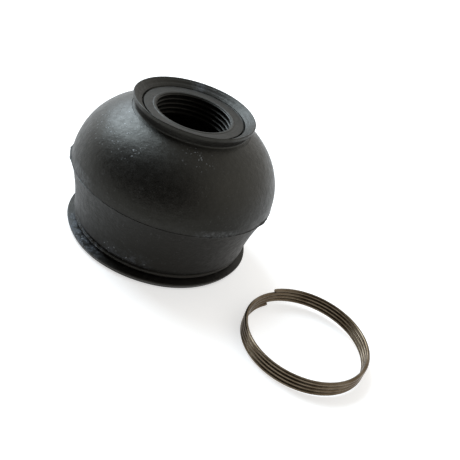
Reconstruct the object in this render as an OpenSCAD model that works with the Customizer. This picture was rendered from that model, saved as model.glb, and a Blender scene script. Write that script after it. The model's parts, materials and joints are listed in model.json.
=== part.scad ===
// Tie rod end dust boot with its wire retaining ring.
//
// The boot stands on its foot at the origin, with its axis along +Z. It is one rubber moulding,
// divided here into three zones so that it can lean with the ball stud: the foot that grips the
// joint housing, the thin wall that flexes, and the collar that seals on the stud.
// The retaining ring lies beside the boot, on the same surface.

/* [Foot] */
// Outside diameter of the foot's flange
flange_d = 38.1; // [37.5:0.1:40]
// Thickness of the flange at its rim
flange_t = 1.2; // [1:0.1:1.4]
// Outside diameter of the bead above the flange
bead_d = 36; // [35:0.2:36.6]
// Diameter of the opening that grips the joint housing
seat_d = 30; // [29:0.2:30.4]
// Height of the foot, up to where the wall begins to flex
foot_h = 5; // [4.5:0.1:6]

/* [Wall] */
// Diameter at the bottom of the skirt, above the bead
skirt_d = 36.4; // [35.6:0.2:37]
// How the skirt flares out: 1 is a straight cone, more keeps it upright for longer
skirt_flare = 1.6; // [1:0.1:2]
// Diameter at the parting line, the widest place
belly_d = 41.1; // [40:0.1:43]
// Height of the parting line
belly_z = 14.2; // [12:0.1:16]
// Thickness of the rubber wall
wall_t = 1.7; // [1.4:0.1:2]
// Fullness of the dome: 2 is an ellipse, less is flatter
dome_fullness = 2.05; // [1.8:0.01:2.3]
// How far the moulding flash stands out at the parting line
flash_w = 0.35; // [0.1:0.05:0.4]

/* [Collar] */
// Diameter at which the dome's outline would level off, if it ran on inside the collar
crown_d = 6; // [4:0.5:10]
// Height at which it would level off
crown_z = 29.2; // [28.6:0.05:29.3]
// Diameter of the collar's root, above the dome
neck_d = 22.6; // [22.2:0.1:23.2]
// Outside diameter of the lip
lip_d = 24.4; // [24:0.1:25]
// Height of the whole boot
boot_h = 29.8; // [29.5:0.1:30.5]
// Depth of the dish inside the lip
dish_depth = 1.2; // [1:0.1:1.4]
// Diameter of the stud bore, across the crests of its sealing ribs
bore_d = 14.6; // [13:0.1:15]
// Number of grooves round the stud bore, with a sealing rib above and below each
groove_count = 4; // [3:1:4]
// Distance from one sealing rib to the next
rib_pitch = 1; // [0.9:0.05:1.05]
// Depth of the grooves between the ribs
rib_depth = 0.45; // [0.3:0.05:0.6]

/* [Retaining ring] */
// Diameter of the wire
wire_d = 0.76; // [0.6:0.02:0.9]
// Gap between one turn and the next
wire_gap = 0.02; // [0.02:0.02:0.2]
// Diameter of the ring, from the middle of the wire
ring_d = 24.2; // [23:0.1:26]
// Number of turns
ring_turns = 3.985; // [2.5:0.005:4.5]
// Place of the ring's axis along X, to the right of the boot's
ring_x = 32.6; // [32:0.1:40]
// Place of the ring's axis along Y, where less than 0 is in front of the boot's
ring_y = -23.3; // [-30:0.1:-20]
// Direction of the wire's upper end, seen from the ring's axis
wire_end_angle = 122.5; // [0:0.5:360]

/* [Hidden] */

ROUND_FN = 180;
ARC_STEPS = 4;                  // straight steps in a round corner
RUBBER = [0.10, 0.10, 0.10];
RUBBER_LIGHT = [0.16, 0.16, 0.16];
SPRING_STEEL = [0.36, 0.31, 0.26];

// the foot
flange_r = flange_d / 2;
foot_edge_r = flange_r - 0.45;  // the flange's side flares out upwards by this much
bead_r = bead_d / 2;
seat_r = seat_d / 2;
lead_in = 0.4;                  // chamfer at the mouth of the opening
edge = 0.2;                     // broken corners of the flange
flange_rise = 0.25;             // the flange's top slopes up inwards by this much
slit_h = 0.25;                  // height of the slit between flange and bead
slit_r = seat_r + 1.4;          // bottom of that slit
nose_r = 0.45;                  // radius of the bead's round nose
crease_h = 0.55;                // height of the crease between bead and wall
crease_w = 0.7;                 // depth of that crease
skirt_edge = 0.3;               // bevel of the skirt's bottom edge
slit_z = flange_t + flange_rise;
bead_z = slit_z + slit_h + nose_r;
bead_top_z = bead_z + nose_r;
skirt_z = bead_top_z + crease_h;

// the wall
belly_r = belly_d / 2;
belly_in_r = belly_r - wall_t;
skirt_r = skirt_d / 2;
thin_z = foot_h + 2.4;          // above this height the skirt is as thin as the rest of the wall
flash_h = 0.3;                  // height of the flash at its root
SKIRT_STEPS = 12;               // straight steps in the skirt's outline
DOME_STEPS = 22;                // straight steps in the dome's outline

// the collar
crown_r = crown_d / 2;
neck_r = neck_d / 2;
fillet_r = 0.3;                 // hollow rounding between the collar's root and the dome
fillet_end = 248;               // direction in which the rounding meets the dome
lip_r = lip_d / 2;
lip_t = 0.9;                    // height of the lip's rim
lip_edge = 0.3;                 // rounding of the lip's rim
bore_r = bore_d / 2;
join_r = neck_r + 0.4;          // the collar ends and the wall begins at this radius
dish_z = boot_h - dish_depth;
dish_r = lip_r - 2.2;           // edge of the flat floor of the dish
bevel = 0.2;                    // bevel at the mouth of the bore
groove_w = 0.15;                // half width and depth of the groove round the dish's floor
bore_top_z = dish_z - bevel;
rib_land = 0.4;                 // height of a rib's crest
rib_flank = 0.15;               // height of a rib's sloping side
boss_z = bore_top_z - groove_count * rib_pitch - rib_land;
boss_edge = 0.6;                // broken corner round the bottom of the bore's boss

// the ring
ring_r = ring_d / 2;
wire_r = wire_d / 2;
wire_pitch = wire_d + wire_gap; // height that one turn climbs
WIRE_SIDES = 8;
STEPS_PER_TURN = 48;
tail_angle = 60;                // the lower end bends inwards over this angle
tail_in = 0.5;                  // and by this much
ring_steps = ceil(ring_turns * STEPS_PER_TURN);

// Points of a round corner or nose of radius r about the point middle, from one angle to another
function arc(middle, r, from, to) = [
    for (i = [0 : ARC_STEPS])
        let (angle = from + (to - from) * i / ARC_STEPS)
        middle + r * [cos(angle), sin(angle)]
];

// Radius of the skirt's outside at height z, from the crease up to the parting line
function skirt_radius(z) =
    skirt_r + (belly_r - skirt_r) * pow((z - skirt_z) / (belly_z - skirt_z), skirt_flare);

// Outline of the skirt upwards between two heights, inset by depth
function skirt(from_z, to_z, depth) = [
    for (i = [0 : SKIRT_STEPS])
        let (z = from_z + (to_z - from_z) * i / SKIRT_STEPS)
        [skirt_radius(z) - depth, z]
];

// Point on a dome from [wide_r, low_z] up and in to [narrow_r, high_z]; angle runs from 0 to 90
function dome_point(wide_r, low_z, narrow_r, high_z, angle) = [
    narrow_r + (wide_r - narrow_r) * pow(cos(angle), 2 / dome_fullness),
    low_z + (high_z - low_z) * sin(angle)
];

// Angle at which a dome that starts at wide_r reaches the radius r
function dome_angle(wide_r, r) = acos(pow((r - crown_r) / (wide_r - crown_r), dome_fullness / 2));

// Point on the dome's outside or inside, part of the way from the parting line to the radius r
function outer_point(r, part) =
    dome_point(belly_r, belly_z, crown_r, crown_z, dome_angle(belly_r, r) * part);
function inner_point(r, part) =
    dome_point(belly_in_r, belly_z, crown_r, crown_z - wall_t, dome_angle(belly_in_r, r) * part);

join_point = outer_point(join_r, 1);
join_in_point = inner_point(join_r, 1);
neck_z = outer_point(neck_r, 1).y + 0.2;

// The wall's outer outline, upwards from the parting line
function outer_dome() = [for (i = [0 : DOME_STEPS]) outer_point(join_r, i / DOME_STEPS)];

// The wall's inner outline, downwards from the collar
function inner_dome() = [for (i = [DOME_STEPS : -1 : 0]) inner_point(join_r, i / DOME_STEPS)];

// One sealing rib, downwards from its top at height z, with the groove below it
function rib(z) = [
    [bore_r, z],
    [bore_r, z - rib_land],
    [bore_r + rib_depth, z - rib_land - rib_flank],
    [bore_r + rib_depth, z - rib_pitch + rib_flank]
];

// Height of the wire's middle, where turn counts down from the upper end
function wire_z(turn) = wire_r + (ring_turns - turn) * wire_pitch;

// Radius of the wire's middle: the lower end bends inwards
function wire_run(turn) =
    let (left = (ring_turns - turn) * 360)
    ring_r - tail_in * pow(max(0, 1 - left / tail_angle), 2);

// One point on the wire's surface, side degrees round its middle
function wire_point(turn, side) =
    let (
        angle = wire_end_angle - 360 * turn,
        r = wire_run(turn) + wire_r * cos(side)
    )
    [r * cos(angle), r * sin(angle), wire_z(turn) + wire_r * sin(side)];

// The foot: flange, slit, bead, and the start of the skirt, round the housing's opening
module boot_foot() {
    color(RUBBER)
    rotate_extrude($fn = ROUND_FN)
    polygon(concat(
        [
            [seat_r + lead_in, 0],
            [foot_edge_r - edge, 0],
            [foot_edge_r, edge]
        ],
        arc([flange_r - edge, flange_t - edge], edge, 0, 90),
        [
            [slit_r, slit_z],
            [slit_r, slit_z + slit_h]
        ],
        arc([bead_r - nose_r, bead_z], nose_r, -90, 90),
        [
            [skirt_r - crease_w, bead_top_z],
            [skirt_r - crease_w, skirt_z],
            [skirt_r - skirt_edge, skirt_z]
        ],
        skirt(skirt_z + skirt_edge, foot_h, 0),
        [
            [seat_r, foot_h],
            [seat_r, lead_in]
        ]
    ));
}

// The flexing wall: the skirt up to the parting line, and the dome above it
module boot_wall() {
    color(RUBBER_LIGHT)
    rotate_extrude($fn = ROUND_FN)
    polygon(concat(
        [[seat_r, foot_h]],
        skirt(foot_h, belly_z - flash_h / 2, 0),
        [
            [belly_r + flash_w, belly_z - flash_h / 8],
            [belly_r + flash_w, belly_z + flash_h / 8]
        ],
        [for (p = outer_dome()) if (p.y > belly_z + flash_h / 2) p],
        inner_dome(),
        skirt(belly_z - flash_h, thin_z, wall_t)
    ));
}

// The collar: the dished lip, and the ribbed bore that seals on the stud
module boot_collar() {
    color(RUBBER)
    rotate_extrude($fn = ROUND_FN)
    polygon(concat(
        [
            join_in_point,
            join_point
        ],
        arc([neck_r + fillet_r, neck_z], fillet_r, fillet_end, 180),
        [[lip_r - lip_edge, boot_h - lip_t]],
        arc([lip_r - lip_edge, boot_h - lip_edge], lip_edge, -45, 90),
        [
            [dish_r + 2 * groove_w, dish_z + groove_w],
            [dish_r + groove_w, dish_z - groove_w],
            [dish_r, dish_z],
            [bore_r + bevel, dish_z]
        ],
        [for (i = [0 : groove_count - 1]) each rib(bore_top_z - i * rib_pitch)],
        [
            [bore_r, boss_z + rib_land],
            [bore_r, boss_z],
            [join_r - boss_edge, boss_z],
            [join_r, boss_z + boss_edge]
        ]
    ));
}

// The retaining ring: one wire wound in a close helix, with both ends free
module retaining_ring() {
    turn_step = ring_turns / ring_steps;
    side_step = 360 / WIRE_SIDES;
    last = ring_steps * WIRE_SIDES;
    color(SPRING_STEEL)
    translate([ring_x, ring_y, 0])
    polyhedron(
        points = [
            for (i = [0 : ring_steps], j = [0 : WIRE_SIDES - 1])
                wire_point(i * turn_step, j * side_step)
        ],
        faces = concat(
            [[for (j = [0 : WIRE_SIDES - 1]) j]],
            [
                for (i = [0 : ring_steps - 1], j = [0 : WIRE_SIDES - 1])
                    let (
                        k = (j + 1) % WIRE_SIDES,
                        here = i * WIRE_SIDES,
                        next = here + WIRE_SIDES
                    )
                    each [
                        [here + j, next + j, next + k],
                        [here + j, next + k, here + k]
                    ]
            ],
            [[for (j = [WIRE_SIDES - 1 : -1 : 0]) last + j]]
        )
    );
}

boot_foot();
boot_wall();
boot_collar();
retaining_ring();
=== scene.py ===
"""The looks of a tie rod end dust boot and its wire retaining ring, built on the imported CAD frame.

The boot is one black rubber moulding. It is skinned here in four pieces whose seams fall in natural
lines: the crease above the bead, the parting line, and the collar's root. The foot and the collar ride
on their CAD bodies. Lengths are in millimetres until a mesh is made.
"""

import json
import math

import bpy
import numpy as np
from mathutils import Matrix, Vector


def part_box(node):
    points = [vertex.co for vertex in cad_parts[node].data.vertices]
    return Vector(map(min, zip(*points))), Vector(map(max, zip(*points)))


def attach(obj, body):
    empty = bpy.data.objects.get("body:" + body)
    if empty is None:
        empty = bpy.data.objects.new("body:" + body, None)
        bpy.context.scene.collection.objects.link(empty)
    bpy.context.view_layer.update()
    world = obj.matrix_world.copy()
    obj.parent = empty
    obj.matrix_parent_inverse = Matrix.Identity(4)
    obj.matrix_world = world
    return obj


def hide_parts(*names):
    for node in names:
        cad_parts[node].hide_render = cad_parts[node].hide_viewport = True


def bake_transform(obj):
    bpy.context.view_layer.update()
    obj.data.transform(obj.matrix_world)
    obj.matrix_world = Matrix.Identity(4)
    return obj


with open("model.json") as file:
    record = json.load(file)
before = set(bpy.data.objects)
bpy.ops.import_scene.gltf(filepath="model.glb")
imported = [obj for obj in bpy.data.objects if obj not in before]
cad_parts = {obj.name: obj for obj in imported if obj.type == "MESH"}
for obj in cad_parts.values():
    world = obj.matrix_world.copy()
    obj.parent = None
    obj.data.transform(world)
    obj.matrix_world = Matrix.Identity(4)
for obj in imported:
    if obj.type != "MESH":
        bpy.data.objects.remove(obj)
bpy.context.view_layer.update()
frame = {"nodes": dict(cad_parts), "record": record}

MM = 0.001
REST = "rest_mm"            # attribute with each point's place at rest, which the materials read

# ---------------------------------------------------------------- sizes from the frame
MOUNTS = {m["name"]: m for m in frame["record"]["mounts"]}


def low_corner(node):
    """Lowest corner of a CAD node's box, in millimetres."""
    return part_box(node)[0] / MM


def high_corner(node):
    """Highest corner of a CAD node's box, in millimetres."""
    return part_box(node)[1] / MM


def widest_height(node):
    """Height at which a turned CAD node is widest, in millimetres."""
    points = np.array([v.co for v in frame["nodes"][node].data.vertices]) / MM
    radius = np.hypot(points[:, 0], points[:, 1])
    return float(points[radius > radius.max() - 0.01, 2].mean())


SEAT_R = MOUNTS["housing_seat"]["dims"]["r_mm"]
BORE_R = MOUNTS["stud_seal"]["dims"]["r_mm"]
DISH_Z = MOUNTS["collar_face"]["pos_m"][2] / MM
FLANGE_R = high_corner("boot_foot").x
FOOT_H = high_corner("boot_foot").z
CAD_FLASH = 0.35            # the flash in the CAD stands out from the widest line by this much
BELLY_R = high_corner("boot_wall").x - CAD_FLASH
BELLY_Z = widest_height("boot_wall")
LIP_R = high_corner("boot_collar").x
BOOT_H = high_corner("boot_collar").z
RING_LOW = low_corner("retaining_ring")
RING_HIGH = high_corner("retaining_ring")

# foot
FLANGE_T = 1.2
FLARE = 0.45                # the flange's side leans out by this much
FLANGE_EDGE = 0.22          # rounding of the flange's upper edge
LEAD_IN = 0.4
BEAD_FROM_Z = FLANGE_T + 0.1    # what lies above this height is the bead, and below it the flange
SLIT_Z = FLANGE_T + 0.25    # the flange's top slopes up inwards
SLIT_H = 0.25
SLIT_R = SEAT_R + 1.4
NOSE_R = 0.45
BEAD_R = 18.0
BEAD_Z = SLIT_Z + SLIT_H + NOSE_R
CREASE_Z = BEAD_Z + NOSE_R

# wall
SKIRT_R = 18.2
SKIRT_Z = CREASE_Z + 0.7
SKIRT_FLARE = 1.6
CREASE_R = SKIRT_R - 0.7    # bottom of the crease
THIN_Z = FOOT_H + 2.4       # above this height the skirt is as thin as the dome
WALL_T = 1.7
DOME_FULLNESS = 2.05
CROWN_R = 3.0
CROWN_Z = 29.2
FLASH_TIP = 0.1             # the flash where nothing else is said
# angle, half width in degrees and height of each torn nub on the flash
NUBS = (
    (189, 6.5, 0.24), (197, 2.5, 0.2), (186, 1.2, 0.16), (218, 1.5, 0.06),
    (297, 1.0, 0.1), (309, 0.9, 0.12), (338, 3.2, 0.2), (343, 1.5, 0.12),
    (21, 2.0, 0.12), (64, 1.3, 0.1), (103, 2.6, 0.16), (151, 1.6, 0.1),
)

# collar
NECK_R = 11.3
NECK_Z = 27.69              # top of the hollow rounding at the collar's root
FILLET_R = 0.3
INNER_R = NECK_R + 0.1      # the collar's skin and the dome's meet inside at this radius
INNER_Z = 25.5
LIP_EDGE = 0.2              # rounding of the lip's upper edge
LIP_T = 0.9
LIP_PRESSED = 0.5           # the lip is pressed in at one side by this much
DISH_R = LIP_R - 2.2
DISH_STEP = 0.02            # faint steps down the dish
GROOVE_W = 0.17
MOUTH = 0.3                 # the bore's mouth is wider than its ribs by this much
BEAD_W = 0.5                # low bead round the bore's mouth
BEAD_H = 0.07
BEAD_OUT = BORE_R + MOUTH + 0.05 + BEAD_W
RIB_PITCH = 1.0
RIB_DEPTH = 0.45
GROOVES = 4
BORE_TOP = DISH_Z - 0.05    # height at which the first groove starts
BOSS_Z = DISH_Z - 0.2 - GROOVES * RIB_PITCH - 0.4
BOSS_EDGE = 0.6

# ring
WIRE_D = 0.76
WIRE_PITCH = 0.78
TURNS = 3.985
END_ANGLE = 124.5           # direction of the wire's upper end from the ring's middle
TAIL_ANGLE = 60             # over its last part the wire's lower end bends in
TAIL_IN = 0.1
WIRE_WANDER = 0.018         # the turns wander in and out by this much
WIRE_INSIDE = 0.02          # and keep this far inside the CAD's wire
CUT_END = 0.9               # the cut ends have broken edges, so they are this much of the wire

SEGMENTS = 360              # round the boot
WIRE_SIDES = 20
WIRE_STEPS = 144            # along the wire, in one turn


# ---------------------------------------------------------------- meshes
def arc(r, z, radius, start, end, steps=6):
    """Round corner about (r, z), from one angle to another in degrees."""
    angles = np.radians(np.linspace(start, end, steps + 1))
    return [(r + radius * math.cos(a), z + radius * math.sin(a)) for a in angles]


def line(start, end, steps):
    """Points from start to end, both included."""
    return [tuple(p) for p in np.linspace(start, end, steps + 1)]


def finish_mesh(name, points, faces, sharp_angle=38):
    """An object from points in millimetres, with its rest places stored for the materials."""
    mesh = bpy.data.meshes.new(name)
    mesh.from_pydata((points * MM).tolist(), [], faces)
    mesh.validate()
    rest = mesh.attributes.new(REST, "FLOAT_VECTOR", "POINT")
    rest.data.foreach_set("vector", points.astype(np.float32).ravel())
    mesh.shade_smooth()
    mesh.set_sharp_from_angle(angle=math.radians(sharp_angle))
    piece = bpy.data.objects.new(name, mesh)
    bpy.context.scene.collection.objects.link(piece)
    return piece


def turned(name, outline, shape):
    """A closed ring of rubber: outline is a closed loop of (radius, height) that goes up outside.

    shape(r, z, angle) moves the points, so that the moulding isn't a perfect solid of revolution."""
    r, z = np.array(outline).T
    angle = np.linspace(0, 2 * math.pi, SEGMENTS, endpoint=False)[:, None]
    whole = (SEGMENTS, len(r))
    r, z = shape(np.broadcast_to(r, whole), np.broadcast_to(z, whole), angle)
    points = np.stack([r * np.cos(angle), r * np.sin(angle), z], axis=2).reshape(-1, 3)
    count = len(outline)
    faces = []
    for i in range(SEGMENTS):
        here, ahead = i * count, (i + 1) % SEGMENTS * count
        for j in range(count):
            k = (j + 1) % count
            faces.append((here + j, ahead + j, ahead + k, here + k))
    return finish_mesh(name, points, faces)


def wander(angle, seed, waves):
    """Smooth random curve round the boot, about -1 to 1, from whole waves."""
    random = np.random.default_rng(seed)
    total = 0
    for wave in waves:
        height = random.uniform(0.4, 1)
        total = total + height * np.cos(wave * angle + random.uniform(0, 2 * math.pi))
    return total / len(waves)


def pulse(angle, centre, width):
    """Smooth bump of height 1 at an angle round the boot, in degrees."""
    off = (np.degrees(angle) - centre + 180) % 360 - 180
    return np.exp(-((off / width) ** 2))


def out_of_round(r, z, angle):
    """Slack in the thin rubber: a little oval, and a shallow dent here and there."""
    height = np.clip((z - SKIRT_Z) / BELLY_Z, 0, 1)
    ease = height * np.clip((NECK_Z - z) / 3, 0, 1)
    shoulder = np.clip((z - 18) / 4, 0, 1) * pulse(angle, 150, 45)
    bulge = 0.14 + 0.14 * pulse(angle, 190, 50) + 0.2 * shoulder
    return r + ease * (bulge + 0.08 * wander(angle, 11, (2, 3, 5))), z


# ---------------------------------------------------------------- the boot's outlines
def foot_outline():
    """Flange, slit and bead, and the opening that grips the housing."""
    side_r = FLANGE_R - FLARE
    return (
        line((SEAT_R + LEAD_IN, 0), (side_r - 0.2, 0), 6)
        + arc(side_r - 0.2, 0.2, 0.2, -60, -10, 3)
        + line((side_r + 0.04, 0.3), (FLANGE_R - 0.05, FLANGE_T - FLANGE_EDGE - 0.12), 3)
        + arc(FLANGE_R - FLANGE_EDGE, FLANGE_T - FLANGE_EDGE, FLANGE_EDGE, 0, 90, 5)
        + line((FLANGE_R - 0.5, FLANGE_T + 0.02), (BEAD_R - 0.4, SLIT_Z - 0.12), 5)
        + line((BEAD_R - 0.7, SLIT_Z - 0.09), (SLIT_R, SLIT_Z), 3)
        + line((SLIT_R, SLIT_Z + SLIT_H), (BEAD_R - NOSE_R - 0.1, SLIT_Z + SLIT_H), 3)
        + arc(BEAD_R - NOSE_R, BEAD_Z, NOSE_R, -80, 80, 8)
        + line((BEAD_R - NOSE_R - 0.1, CREASE_Z), (CREASE_R, CREASE_Z - 0.02), 1)
        + line((SEAT_R, CREASE_Z), (SEAT_R, LEAD_IN), 3)
    )


def skirt_radius(z):
    """Radius of the skirt's outside at a height."""
    share = max((z - SKIRT_Z) / (BELLY_Z - SKIRT_Z), 0)
    return SKIRT_R + (BELLY_R - SKIRT_R) * share ** SKIRT_FLARE


def skirt_outline():
    """The skirt from the crease up to the parting line."""
    heights = np.linspace(SKIRT_Z + 0.45, BELLY_Z - 0.12, 40)
    outside = [(skirt_radius(z) - 0.04, z) for z in heights]
    inside = [(skirt_radius(z) - WALL_T, z) for z in np.linspace(BELLY_Z - 0.3, THIN_Z, 20)]
    parting = [(BELLY_R - 0.02, BELLY_Z - 0.04), (BELLY_R - 0.3, BELLY_Z)]
    return (
        [(CREASE_R, CREASE_Z), (CREASE_R, SKIRT_Z - 0.1)]
        + arc(SKIRT_R - 0.36, SKIRT_Z + 0.32, 0.34, -90, 0, 5)
        + outside
        + parting
        + [(BELLY_R - WALL_T, BELLY_Z)]
        + inside
        + line((SEAT_R + 0.2, FOOT_H + 0.1), (SEAT_R, CREASE_Z), 4)
    )


def dome_point(wide_r, low_z, narrow_r, high_z, angle):
    """Point on a dome from [wide_r, low_z] up and in to [narrow_r, high_z]; angle runs from 0 to 90."""
    a = math.radians(angle)
    share = max(math.cos(a), 0) ** (2 / DOME_FULLNESS)
    return (narrow_r + (wide_r - narrow_r) * share, low_z + (high_z - low_z) * math.sin(a))


def dome_outline():
    """The flash at the parting line, and the dome above it, which runs in under the collar's root."""
    outer = (BELLY_R, BELLY_Z, CROWN_R, CROWN_Z)
    outside = [dome_point(*outer, a) for a in np.linspace(1.2, 60.4, 72)]
    inner = (BELLY_R - WALL_T, BELLY_Z, CROWN_R, CROWN_Z - WALL_T)
    inside = [dome_point(*inner, a) for a in np.linspace(58.7, 0, 36)]
    flash = [
        (BELLY_R - 0.3, BELLY_Z),
        (BELLY_R, BELLY_Z - 0.02),
        (BELLY_R + FLASH_TIP, BELLY_Z - 0.02),
        (BELLY_R + FLASH_TIP, BELLY_Z + 0.03),
        (BELLY_R, BELLY_Z + 0.1),
    ]
    return flash + outside + inside


def collar_outline():
    """The root, the dished lip, the flat round the bore, and the ribbed bore."""
    top = BOOT_H
    root_z = NECK_Z - FILLET_R
    root = [(INNER_R, INNER_Z), (INNER_R, root_z - 0.2), (NECK_R + 0.5, root_z - 0.17)]
    root += arc(NECK_R + FILLET_R, NECK_Z, FILLET_R, 250, 182, 6)
    flank_top = (LIP_R - 0.1, top - LIP_T + 0.1)
    flank = line((NECK_R + 0.02, NECK_Z + 0.12), flank_top, 12)
    rim = line((LIP_R - 0.02, top - LIP_T + 0.3), (LIP_R, top - LIP_EDGE - 0.05), 3)
    rim += arc(LIP_R - LIP_EDGE, top - LIP_EDGE, LIP_EDGE, 15, 80, 4)
    wall_foot = (DISH_R + 1.6 * GROOVE_W, DISH_Z + 0.12)
    dish = []
    for r, z in line((LIP_R - LIP_EDGE - 0.1, top - 0.03), wall_foot, 24):
        depth = (top - z) / (top - DISH_Z)
        hollow = DISH_STEP * math.sin(depth * math.pi * 5) + 0.05 * math.sin(depth * math.pi)
        dish.append((r, z - hollow))
    groove = arc(DISH_R + 0.55 * GROOVE_W, DISH_Z - 0.02, GROOVE_W, -20, -160, 5)
    flat = [(DISH_R - 0.12, DISH_Z - 0.01)]
    flat += line((DISH_R - 0.3, DISH_Z), (BEAD_OUT + 0.1, DISH_Z), 6)
    for share in np.linspace(0, 1, 9):
        flat.append((BEAD_OUT - share * BEAD_W, DISH_Z + BEAD_H * math.sin(share * math.pi)))
    mouth = arc(BORE_R + MOUTH, DISH_Z - 0.1, 0.1, 95, 180, 4)
    ribs = []
    for i in range(GROOVES):
        for down in np.linspace(0.12 if i == 0 else 0.04, 1, 24):
            rib_r = BORE_R + 0.03 + RIB_DEPTH * rib_shape(down)
            ribs.append((rib_r, BORE_TOP - (i + down) * RIB_PITCH))
    boss = line((BORE_R, BOSS_Z + 0.3), (BORE_R, BOSS_Z + 0.1), 1) + [(BORE_R + 0.1, BOSS_Z)]
    boss += [(INNER_R - BOSS_EDGE, BOSS_Z), (INNER_R, BOSS_Z + BOSS_EDGE)]
    return root + flank + rim + dish + groove + flat + mouth + ribs + boss


def rib_shape(down):
    """Depth of the bore's outline over one pitch, 0 on the rib's round crest and 1 in the groove."""
    return min(((down - 0.3 if down < 0.75 else down - 1.3) / 0.26) ** 2, 1.0)


# ---------------------------------------------------------------- how the moulding wanders
def shape_foot(r, z, angle):
    """The flange is a little oval and unevenly trimmed, and the bead rides up and down and fades out."""
    outer = np.clip((r - SLIT_R) / 1.5, 0, 1)
    flange = np.clip((BEAD_FROM_Z - z) / 0.1, 0, 1) * outer
    bead = (z > BEAD_FROM_Z) * outer
    oval = 0.18 * pulse(angle, 238, 28) - 0.2 * pulse(angle, 322, 24)
    faded = 0.12 + 0.12 * pulse(angle, 240, 34)
    r = r + flange * (oval + 0.05 * wander(angle, 3, (3, 7, 16)) + 0.04)
    r = r + bead * (0.6 * oval + 0.06 * wander(angle, 5, (2, 5, 9)) - faded)
    z = z + bead * 0.04 * wander(angle, 7, (1, 3, 6)) * (z < CREASE_Z - 0.03)
    return r, z


def shape_dome(r, z, angle):
    """Follows the wall's slack, and draws the flash out where it was torn."""
    tip = np.clip((r - BELLY_R) / FLASH_TIP, 0, 1)
    torn = 0.05 * wander(angle, 21, (7, 13, 29, 41))
    torn = torn + sum(h * pulse(angle, a, w) for a, w, h in NUBS)
    moved, z = out_of_round(r, z, angle)
    return moved + tip * torn, z


def shape_collar(r, z, angle):
    """The lip isn't quite flat, and the groove round the dish gapes in two places."""
    groove = np.abs(r - DISH_R - 0.55 * GROOVE_W) < GROOVE_W
    groove = groove * np.clip((DISH_Z - z) / GROOVE_W, 0, 1)
    gaping = np.minimum(pulse(angle, 192, 34) + pulse(angle, 354, 30), 1)
    z = z + groove * (0.12 - 0.6 * gaping)
    outer = np.clip((r - NECK_R) / (LIP_R - NECK_R), 0, 1) * (z > NECK_Z)
    pressed = LIP_PRESSED * pulse(angle, 272, 60)
    r = r + outer * (0.04 * wander(angle, 31, (2, 3, 6)) - pressed)
    return r, z + outer * (0.03 * wander(angle, 33, (2, 4, 5)) - 0.03)


# ---------------------------------------------------------------- the ring
def ring_wire():
    """One wire wound down from its upper end in a close helix, with square cut ends."""
    wire_r = WIRE_D / 2
    ring_r = (RING_HIGH.x - RING_LOW.x) / 2 - wire_r
    middle = (RING_HIGH + RING_LOW) / 2
    sides, steps = WIRE_SIDES, round(TURNS * WIRE_STEPS)
    turn = np.linspace(0, TURNS, steps + 1)
    left = (TURNS - turn) * 360
    run = ring_r - TAIL_IN * np.clip(1 - left / TAIL_ANGLE, 0, 1) ** 2
    run = run - WIRE_INSIDE + WIRE_WANDER * wander(turn * 2 * math.pi * 0.37, 41, (2, 3, 5))
    height = wire_r + (TURNS - turn) * WIRE_PITCH
    angle = math.radians(END_ANGLE) - turn * 2 * math.pi
    thin = np.ones(steps + 1)
    thin[[0, -1]] = CUT_END
    side = np.linspace(0, 2 * math.pi, sides, endpoint=False)
    r = run[:, None] + wire_r * thin[:, None] * np.cos(side)
    z = height[:, None] + wire_r * thin[:, None] * np.sin(side)
    x = middle.x + r * np.cos(angle)[:, None]
    y = middle.y + r * np.sin(angle)[:, None]
    points = np.stack([x, y, z], axis=2).reshape(-1, 3)
    first, last = range(sides), range(steps * sides, (steps + 1) * sides)
    faces = [tuple(first), tuple(reversed(last))]
    for i in range(steps):
        here, ahead = i * sides, (i + 1) * sides
        for j in range(sides):
            k = (j + 1) % sides
            faces.append((here + j, ahead + j, ahead + k, here + k))
    return finish_mesh("ring_wire", points, faces, sharp_angle=50)


# ---------------------------------------------------------------- materials
POWDER = (0.13, 0.14, 0.155, 1)
DUST = (0.34, 0.36, 0.38, 1)
# grey of the painted highlight on the flash's tip
FLASH_HIGHLIGHT_GREY = (0.05, 0.053, 0.056, 1)
RUBBER_IOR = 1.5
RUBBER_TINT = (1.0, 0.97, 0.85, 1)      # of the rubber's reflections
STEEL_DARK = (0.099, 0.072, 0.045, 1)
STEEL_LIGHT = (0.157, 0.123, 0.086, 1)
STEEL_DRAWN = (0.27, 0.228, 0.187, 1)


def ramp(tree, value, low, high, at_low, at_high, kind="SMOOTHSTEP"):
    """Step from at_low to at_high as value goes from low to high."""
    made = tree.nodes.new("ShaderNodeMapRange")
    made.interpolation_type = kind
    ends = {"From Min": low, "From Max": high, "To Min": at_low, "To Max": at_high}
    for key, end in ends.items():
        made.inputs[key].default_value = end
    tree.links.new(value, made.inputs["Value"])
    return made.outputs["Result"]


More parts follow.
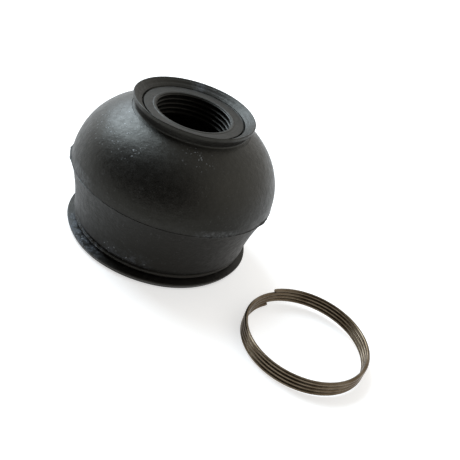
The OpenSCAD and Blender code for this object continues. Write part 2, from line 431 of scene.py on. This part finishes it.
class Paint:
    """A material built one node at a time round its Principled shader."""

    def __init__(self, name):
        self.material = bpy.data.materials.new(name)
        self.material.use_nodes = True
        self.tree = self.material.node_tree
        self.shader = self.tree.nodes["Principled BSDF"]
        self.place = self.node("ShaderNodeAttribute", attribute_name=REST).outputs["Vector"]

    def node(self, kind, inputs=None, **settings):
        made = self.tree.nodes.new(kind)
        for key, value in settings.items():
            setattr(made, key, value)
        for key, value in (inputs or {}).items():
            self.feed(made.inputs[key], value)
        return made

    def feed(self, socket, value):
        if isinstance(value, bpy.types.NodeSocket):
            self.tree.links.new(value, socket)
        else:
            socket.default_value = value

    def noise(self, scale, detail=3, roughness=0.55, place=None):
        """Noise with features about 1 / scale millimetres wide."""
        inputs = {"Scale": scale, "Detail": detail, "Roughness": roughness}
        inputs["Vector"] = place or self.place
        return self.node("ShaderNodeTexNoise", inputs).outputs["Fac"]

    def vector_maths(self, operation, a, b=(0, 0, 0)):
        return self.node("ShaderNodeVectorMath", {0: a, 1: b}, operation=operation).outputs

    def stretched(self, x, y, z):
        """The rest place with each axis scaled, for streaks."""
        return self.vector_maths("MULTIPLY", self.place, (x, y, z))["Vector"]

    def reach(self):
        """Distance from the boot's axis."""
        return self.vector_maths("LENGTH", self.stretched(1, 1, 0))["Value"]

    def height(self):
        return self.node("ShaderNodeSeparateXYZ", {0: self.place}).outputs["Z"]

    def wrapped(self, out, along, up):
        """Distance from the boot's axis, way round it, and height, each scaled, for streaks."""
        x, y, z = self.node("ShaderNodeSeparateXYZ", {0: self.place}).outputs
        turn = self.maths("ARCTAN2", x, self.maths("MULTIPLY", y, -1.0))
        places = {
            0: self.maths("MULTIPLY", self.reach(), out),
            1: self.maths("MULTIPLY", turn, along * 15),
            2: self.maths("MULTIPLY", z, up),
        }
        return self.node("ShaderNodeCombineXYZ", places).outputs[0]

    def ramp(self, value, low, high, at_low=0.0, at_high=1.0):
        """Smooth step from at_low to at_high as value goes from low to high."""
        return ramp(self.tree, value, low, high, at_low, at_high)

    def maths(self, operation, a, b=0.5):
        return self.node("ShaderNodeMath", {0: a, 1: b}, operation=operation).outputs[0]

    def near(self, point, core, reach):
        """1 within core millimetres of a point, and 0 beyond reach."""
        apart = self.vector_maths("DISTANCE", self.place, point)["Value"]
        return self.ramp(apart, core, reach, 1.0, 0.0)

    def patches(self, places, elsewhere):
        """1 in the middle of each patch (point, core, reach), and elsewhere outside them all."""
        share = elsewhere
        for place in places:
            share = self.maths("MAXIMUM", self.near(*place), share)
        return share

    def mix(self, share, a, b):
        """Colour a where share is 0 and b where it is 1."""
        return self.node("ShaderNodeMix", {0: share, 6: a, 7: b}, data_type="RGBA").outputs[2]

    def specks(self, scale, size, kept):
        """Dust: a soft ragged dot in some cells of a Voronoi pattern."""
        ragged = {"Vector": self.place, "Scale": scale * 2.5, "Detail": 2}
        ragged = self.node("ShaderNodeTexNoise", ragged).outputs["Color"]
        shift = self.vector_maths("MULTIPLY", ragged, (0.6, 0.6, 0.6))["Vector"]
        place = self.vector_maths("ADD", self.place, shift)["Vector"]
        cells = self.node("ShaderNodeTexVoronoi", {"Vector": place, "Scale": scale})
        dot = self.ramp(cells.outputs["Distance"], size * 0.5, size, 1.0, 0.0)
        pick = self.node("ShaderNodeSeparateColor", {0: cells.outputs["Color"]}).outputs[0]
        return self.maths("MULTIPLY", dot, self.maths("GREATER_THAN", pick, 1 - kept))

    def bump(self, layers):
        """Bumps of (height, depth in millimetres), one on another."""
        normal = None
        for height, depth in layers:
            inputs = {"Height": height, "Distance": depth * MM, "Strength": 1.0}
            if normal is not None:
                inputs["Normal"] = normal
            normal = self.node("ShaderNodeBump", inputs).outputs["Normal"]
        self.feed(self.shader.inputs["Normal"], normal)


def grey(value, warm=0.0):
    """A neutral colour, made warmer by a small share."""
    return (value * (1 + warm), value, value * (1 - warm), 1)


def rubber(name, finish, shine, tone=1.0, dusty=(), scuffed=(), powder=0.8, streaky=0.3, highlit_flash=()):
    """Moulded black rubber: satin skin, faint bloom, dust specks and powdery scuffs.

    finish is the skin's roughness. shine is its sheen, or a pair for low down and high up on the boot.
    tone is how grey the rubber is, powder and streaky are how strong the scuffs and streaks are, and
    dusty and scuffed are the patches with dust and scuffs; the last patches get a painted highlight on the
    flash's tip."""
    paint = Paint(name)
    cloud = paint.noise(0.16, 4, 0.6)
    mottle = paint.noise(0.9, 4, 0.6)
    grain = paint.noise(7.0, 3, 0.6)
    streaks = paint.noise(1.0, 5, 0.65, paint.wrapped(2.2, 0.22, 2.6))
    colour = paint.mix(paint.ramp(cloud, 0.35, 0.7), grey(0.0018 * tone, 0.15), grey(0.0032 * tone, 0.12))
    bloom = paint.maths("MULTIPLY", paint.ramp(mottle, 0.5, 0.75), 0.4)
    colour = paint.mix(bloom, colour, grey(0.007 * tone, 0.08))
    streaked = paint.maths("MULTIPLY", paint.ramp(streaks, 0.5, 0.75), streaky)
    colour = paint.mix(streaked, colour, grey(0.016, 0.02))

    # dust: soft specks, more of them in the patches where the boot was handled
    specks = paint.maths("MAXIMUM", paint.specks(1.0, 0.24, 0.25), paint.specks(1.9, 0.34, 0.4))
    patchy = paint.ramp(paint.noise(0.6, 4, 0.7), 0.42, 0.58, 0.06, 1.0)
    specks = paint.maths("MULTIPLY", paint.maths("MULTIPLY", specks, paint.patches(dusty, 0.06)), patchy)

    # scuffs: a powdery rub, broken up by fine grain
    rubbed = paint.maths("MULTIPLY", paint.ramp(mottle, 0.38, 0.62), paint.ramp(grain, 0.3, 0.6, 0.35, 1.0))
    scuffs = paint.maths("MULTIPLY", rubbed, paint.patches(scuffed, 0.0))
    colour = paint.mix(paint.maths("MULTIPLY", scuffs, powder), colour, POWDER)
    colour = paint.mix(paint.maths("MULTIPLY", specks, 0.6), colour, DUST)

    # painted highlight: the torn flash's tip is painted pale in broken patches, standing in for the light
    # on its top
    if highlit_flash:
        tip = paint.ramp(paint.reach(), BELLY_R + 0.02, BELLY_R + 0.1)
        broken = paint.ramp(paint.noise(1.6, 4, 0.7), 0.42, 0.6, 0.25, 1.0)
        torn = paint.maths("MULTIPLY", tip, broken)
        torn = paint.maths("MULTIPLY", torn, paint.patches(highlit_flash, 0.1))
        colour = paint.mix(torn, colour, FLASH_HIGHLIGHT_GREY)

    rough = paint.ramp(mottle, 0.3, 0.72, finish - 0.04, finish + 0.06)
    rough = paint.maths("ADD", rough, paint.maths("MULTIPLY", scuffs, 0.2))
    if isinstance(shine, tuple):
        shine = paint.ramp(paint.height(), BELLY_Z + 2, BELLY_Z + 10, *shine)
    raised = paint.maths("ADD", grain, paint.maths("MULTIPLY", specks, 2.0))
    paint.feed(paint.shader.inputs["Base Color"], colour)
    paint.feed(paint.shader.inputs["Roughness"], rough)
    paint.feed(paint.shader.inputs["Specular IOR Level"], shine)
    paint.shader.inputs["Specular Tint"].default_value = RUBBER_TINT
    paint.shader.inputs["IOR"].default_value = RUBBER_IOR
    paint.bump([(cloud, 0.14), (mottle, 0.06), (streaks, 0.02 * streaky), (raised, 0.009)])
    return paint.material


def spring_steel():
    """Oil-tempered spring wire: brown, with paler streaks drawn along its length."""
    paint = Paint("oil_tempered_wire")
    cloud = paint.noise(0.35, 4, 0.6)
    drawn = paint.noise(2.5, 3, 0.6, paint.stretched(0.25, 0.25, 4.0))
    colour = paint.mix(paint.ramp(cloud, 0.35, 0.68), STEEL_DARK, STEEL_LIGHT)
    streaks = paint.maths("MULTIPLY", paint.ramp(drawn, 0.55, 0.75), 0.3)
    paint.feed(paint.shader.inputs["Base Color"], paint.mix(streaks, colour, STEEL_DRAWN))
    paint.feed(paint.shader.inputs["Roughness"], paint.ramp(drawn, 0.3, 0.7, 0.25, 0.33))
    paint.shader.inputs["Metallic"].default_value = 1.0
    paint.bump([(drawn, 0.001)])
    return paint.material


# ---------------------------------------------------------------- put together
def skinned(piece, material, slot, *nodes):
    """The piece gets its material and stands for the CAD nodes named; slot is not used."""
    piece.data.materials.append(material)
    if nodes:
        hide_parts(*nodes)
    return piece


# patches on the boot: middle, and how far from it the patch is full and where it ends
HANDLED = (
    ((-13.2, -7.5, 25.0), 2.5, 7.5),
    ((-9.2, -11.8, 25.2), 2.0, 6.0),
    ((3.0, -12.5, 26.0), 0.0, 5.0),
)
# patches where the flash's tip gets a painted highlight
HIGHLIT_FLASH_PATCHES = (((-16.5, -12.0, 14.2), 1.0, 6.0), ((11.0, -17.3, 14.2), 2.0, 6.5))
SCUFFED_FLANGE = ((-14.6, -11.8, 1.2), 4.0, 9.0)
POWDERED_SKIRT = (((-7.5, -16.6, 2.6), 0.5, 4.0), ((-2.5, -18.1, 2.6), 0.5, 4.5))
SCUFFED_LIP = ((-0.5, 11.0, 29.3), 0.0, 2.2)

foot = skinned(
    turned("foot_skin", foot_outline(), shape_foot),
    rubber("foot_rubber", 0.5, 0.3, 3.6, dusty=(SCUFFED_FLANGE,), scuffed=(SCUFFED_FLANGE,), powder=0.9),
    "rubber_foot", "boot_foot",
)
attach(foot, "boot_foot")

skirt = skinned(
    turned("skirt_skin", skirt_outline(), out_of_round),
    rubber("skirt_rubber", 0.46, 0.16, dusty=POWDERED_SKIRT, scuffed=POWDERED_SKIRT, powder=0.3,
           streaky=0.05),
    "rubber_wall",
)
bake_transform(skirt)

dome = skinned(
    turned("dome_skin", dome_outline(), shape_dome),
    rubber("dome_rubber", 0.43, (0.24, 0.46), dusty=HANDLED, streaky=0.1, highlit_flash=HIGHLIT_FLASH_PATCHES),
    "rubber_wall", "boot_wall",
)
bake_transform(dome)

collar = skinned(
    turned("collar_skin", collar_outline(), shape_collar),
    rubber("collar_rubber", 0.46, 0.36, dusty=(SCUFFED_LIP,), scuffed=(SCUFFED_LIP,), powder=0.6),
    "rubber_collar", "boot_collar",
)
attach(collar, "boot_collar")

ring = skinned(ring_wire(), spring_steel(), "spring_steel", "retaining_ring")
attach(ring, "retaining_ring")


# ---------------------------------------------------------------- stage, light and camera
FLOOR_REACH = 3.0
FLOOR_COLOUR = (0.74, 0.725, 0.705, 1)
FLOOR_GLOW = 0.6
SKY_COLOUR = (1.0, 0.985, 0.95, 1)
# direction, share of it where the fade starts and where it ends, and the brightness it fades to
SKY_FADES = (((-0.48, -0.84, 0.25), 0.0, 0.8, 0.05), ((0, 0, 1), 0.5, 1.0, 0.65))


def floor():
    """Plain white table that runs off to the horizon."""
    corners = [(x * FLOOR_REACH, y * FLOOR_REACH, 0) for x, y in ((-1, -1), (1, -1), (1, 1), (-1, 1))]
    mesh = bpy.data.meshes.new("floor")
    mesh.from_pydata(corners, [], [(0, 1, 2, 3)])
    piece = bpy.data.objects.new("floor", mesh)
    bpy.context.scene.collection.objects.link(piece)
    material = bpy.data.materials.new("white_table")
    material.use_nodes = True
    tree = material.node_tree
    shader = tree.nodes["Principled BSDF"]
    shader.inputs["Base Color"].default_value = FLOOR_COLOUR
    shader.inputs["Roughness"].default_value = 0.9
    shader.inputs["Specular IOR Level"].default_value = 0.1
    shader.inputs["Emission Color"].default_value = (1, 1, 1, 1)
    # the table glows softly, but not inside the boot
    apart = tree.nodes.new("ShaderNodeVectorMath")
    apart.operation = "LENGTH"
    tree.links.new(tree.nodes.new("ShaderNodeTexCoord").outputs["Object"], apart.inputs[0])
    glow = ramp(tree, apart.outputs["Value"], SEAT_R * MM, FLANGE_R * MM, 0.0, FLOOR_GLOW, "LINEAR")
    tree.links.new(glow, shader.inputs["Emission Strength"])
    mesh.materials.append(material)


def studio():
    """White surroundings that darken towards the photographer and overhead."""
    world = bpy.data.worlds.new("studio")
    bpy.context.scene.world = world
    world.use_nodes = True
    tree = world.node_tree
    way = tree.nodes.new("ShaderNodeTexCoord").outputs["Generated"]
    both = tree.nodes.new("ShaderNodeMath")
    both.operation = "MULTIPLY"
    for i, (direction, start, end, faded) in enumerate(SKY_FADES):
        facing = tree.nodes.new("ShaderNodeVectorMath")
        facing.operation = "DOT_PRODUCT"
        facing.inputs[1].default_value = direction
        tree.links.new(way, facing.inputs[0])
        fade = ramp(tree, facing.outputs["Value"], start, end, 1.0, faded)
        tree.links.new(fade, both.inputs[i])
    background = tree.nodes["Background"]
    background.inputs["Color"].default_value = SKY_COLOUR
    tree.links.new(both.outputs[0], background.inputs["Strength"])


def softbox(name, azimuth, elevation, apart, size, power, colour):
    """A square area light that faces the boot. Azimuth is measured from +X towards +Y."""
    a, e = math.radians(azimuth), math.radians(elevation)
    way = Vector((math.cos(a) * math.cos(e), math.sin(a) * math.cos(e), math.sin(e)))
    data = bpy.data.lights.new(name, "AREA")
    data.size = size
    data.energy = power
    data.color = colour
    lamp = bpy.data.objects.new(name, data)
    lamp.location = way * apart
    lamp.rotation_mode = "QUATERNION"
    lamp.rotation_quaternion = way.to_track_quat("Z", "Y")
    lamp.visible_camera = False
    bpy.context.scene.collection.objects.link(lamp)


def camera(place, azimuth, elevation, roll, lens):
    """Azimuth is measured from +Y towards +X, and roll turns the picture's right side up."""
    a, e, t = math.radians(azimuth), math.radians(elevation), math.radians(roll)
    look = Vector((math.sin(a) * math.cos(e), math.cos(a) * math.cos(e), math.sin(e)))
    level = Vector((math.cos(a), -math.sin(a), 0))
    steep = level.cross(look)
    right = level * math.cos(t) + steep * math.sin(t)
    up = steep * math.cos(t) - level * math.sin(t)
    data = bpy.data.cameras.new("camera")
    data.lens = lens
    data.sensor_width = 36
    data.clip_start, data.clip_end = 0.005, 20
    eye = bpy.data.objects.new("camera", data)
    turn = Matrix((right, up, -look)).transposed().to_4x4()
    eye.matrix_world = Matrix.Translation(place) @ turn
    bpy.context.scene.collection.objects.link(eye)
    bpy.context.scene.camera = eye


floor()
studio()
softbox("key", azimuth=138, elevation=42, apart=0.9, size=0.62, power=11.5, colour=(0.74, 0.87, 1.0))
camera((-0.00061, -0.12757, 0.08626), azimuth=6.788, elevation=-32.162, roll=21.012, lens=56.42)
bpy.context.scene.view_settings.view_transform = "Standard"
